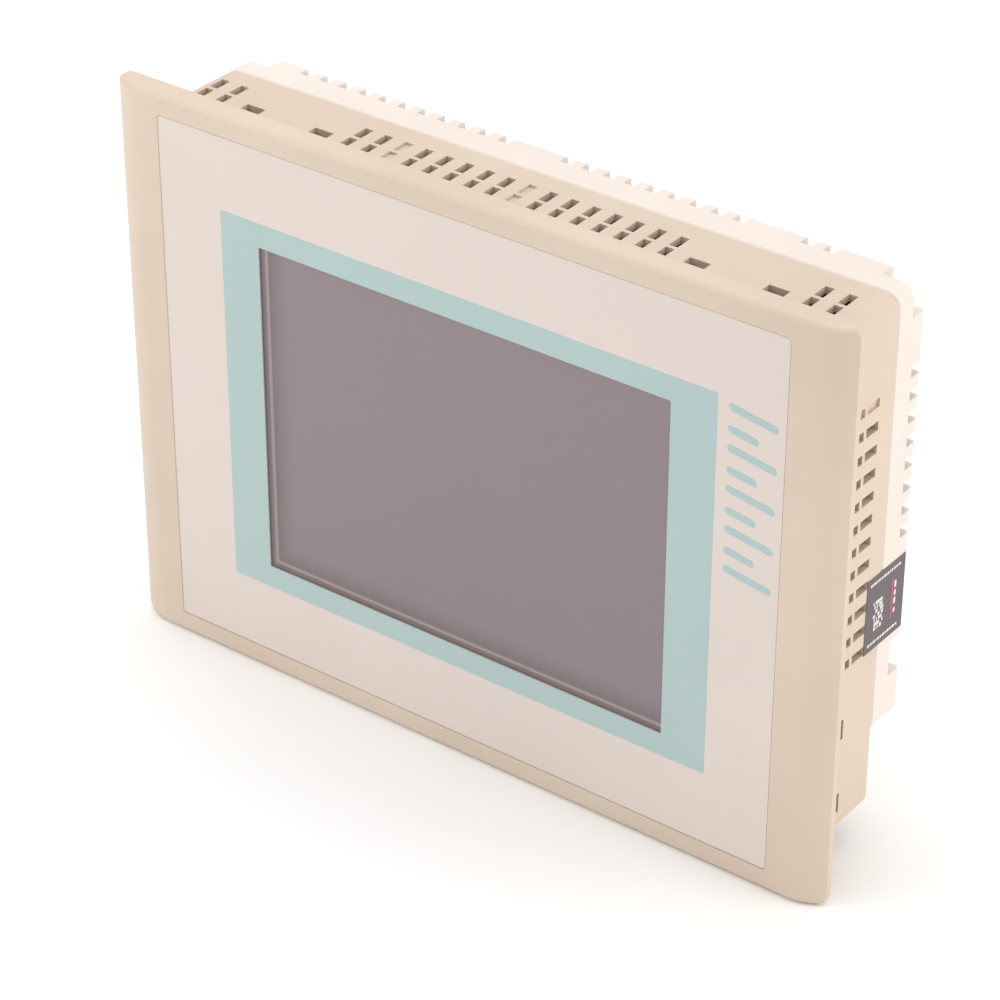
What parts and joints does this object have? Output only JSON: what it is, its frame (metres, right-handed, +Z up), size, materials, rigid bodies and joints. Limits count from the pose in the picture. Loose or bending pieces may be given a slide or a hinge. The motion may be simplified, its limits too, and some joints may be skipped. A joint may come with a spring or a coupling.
{
  "type": "hmi touch panel",
  "caption": "Flat panel-mounted touch display with a beige bezel, vented housing, castellated rear cover and a connector bay below.",
  "frame": {"origin": "centre of the panel cut-out, on the sealing face behind the front bezel", "axes": "+X to the right seen from the front, +Y into the cabinet, +Z up"},
  "size_m": [0.212, 0.0449, 0.156],
  "materials": {
    "housing_plastic": "fine moulded texture",
    "cover_plastic": "fine moulded texture",
    "foil_print": "printed polyester foil with a pale turquoise frame",
    "touch_film": "anti-glare film over a dark display",
    "clear_glass": "polished",
    "clear_acrylic": "polished",
    "white_film": "satin",
    "seal_foam": "matt closed-cell foam",
    "seal_rubber": "matt",
    "steel_plate": "zinc-plated sheet",
    "tin_plate": "bright tin plating",
    "screw_steel": "zinc-plated",
    "brass_nickel": "turned",
    "board_laminate": "green solder mask",
    "chip_epoxy": "black moulded epoxy",
    "ferrite": "matt grey",
    "can_aluminium": "drawn can",
    "tray_plastic": "white moulded",
    "cable_film": "amber polyimide",
    "lead_sleeve": "pink insulated wire",
    "connector_black": "black moulded",
    "connector_green": "green moulded",
    "contact_gold": "gold-flashed",
    "switch_blue": "blue moulded",
    "slider_white": "white moulded",
    "label_dark": "dark printed label",
    "label_silver": "blank silver label"
  },
  "bodies": {
    "panel": {"front_housing": "housing_plastic", "rear_cover": "cover_plastic", "cover_screws": "screw_steel", "front_foil": "foil_print", "touch_film": "touch_film", "touch_glass": "clear_glass", "touch_tail": "cable_film", "panel_seal": "seal_rubber", "display_seal": "seal_foam", "lcd_frame": "tin_plate", "lcd_cell": "clear_glass", "lcd_diffuser": "white_film", "light_guide": "clear_acrylic", "backlight_lamp": "white_film", "lamp_reflector": "tin_plate", "lcd_tray": "tray_plastic", "display_cable": "cable_film", "lamp_lead": "lead_sleeve", "carrier_plate": "steel_plate", "plate_screws": "screw_steel", "board_standoffs": "brass_nickel", "main_board": "board_laminate", "board_screws": "screw_steel", "processor": "chip_epoxy", "memory_chips": "chip_epoxy", "logic_chips": "chip_epoxy", "capacitors": "can_aluminium", "small_components": "ferrite", "power_coil": "ferrite", "fuse": "tray_plastic", "buzzer": "connector_black", "display_socket": "tray_plastic", "touch_socket": "tray_plastic", "inverter_board": "board_laminate", "inverter_feet": "tray_plastic", "inverter_transformer": "ferrite", "lamp_plug": "tray_plastic", "power_header": "connector_green", "power_pins": "tin_plate", "serial_shell": "tin_plate", "serial_flange": "tin_plate", "serial_insert": "connector_black", "serial_locks": "tin_plate", "network_jack": "connector_black", "network_contacts": "contact_gold", "usb_shell": "tin_plate", "usb_tongue": "connector_black", "earth_bracket": "steel_plate", "earth_stud": "screw_steel", "earth_washer": "screw_steel", "earth_nut": "screw_steel", "dip_socket": "connector_black", "dip_body": "switch_blue", "side_label": "label_dark", "rating_plate": "label_silver"},
    "slider_1": {"dip_slider_1": "slider_white"},
    "slider_2": {"dip_slider_2": "slider_white"},
    "slider_3": {"dip_slider_3": "slider_white"},
    "slider_4": {"dip_slider_4": "slider_white"}
  },
  "joints": [
    {"name": "mode_switch_1", "type": "slide", "parent": "panel", "child": "slider_1", "axis": [0, 0, 1], "range_m": [0, 0.0018]},
    {"name": "mode_switch_2", "type": "slide", "parent": "panel", "child": "slider_2", "axis": [0, 0, 1], "range_m": [0, 0.0018]},
    {"name": "mode_switch_3", "type": "slide", "parent": "panel", "child": "slider_3", "axis": [0, 0, 1], "range_m": [0, 0.0018]},
    {"name": "mode_switch_4", "type": "slide", "parent": "panel", "child": "slider_4", "axis": [0, 0, 1], "range_m": [0, 0.0018]}
  ]
}
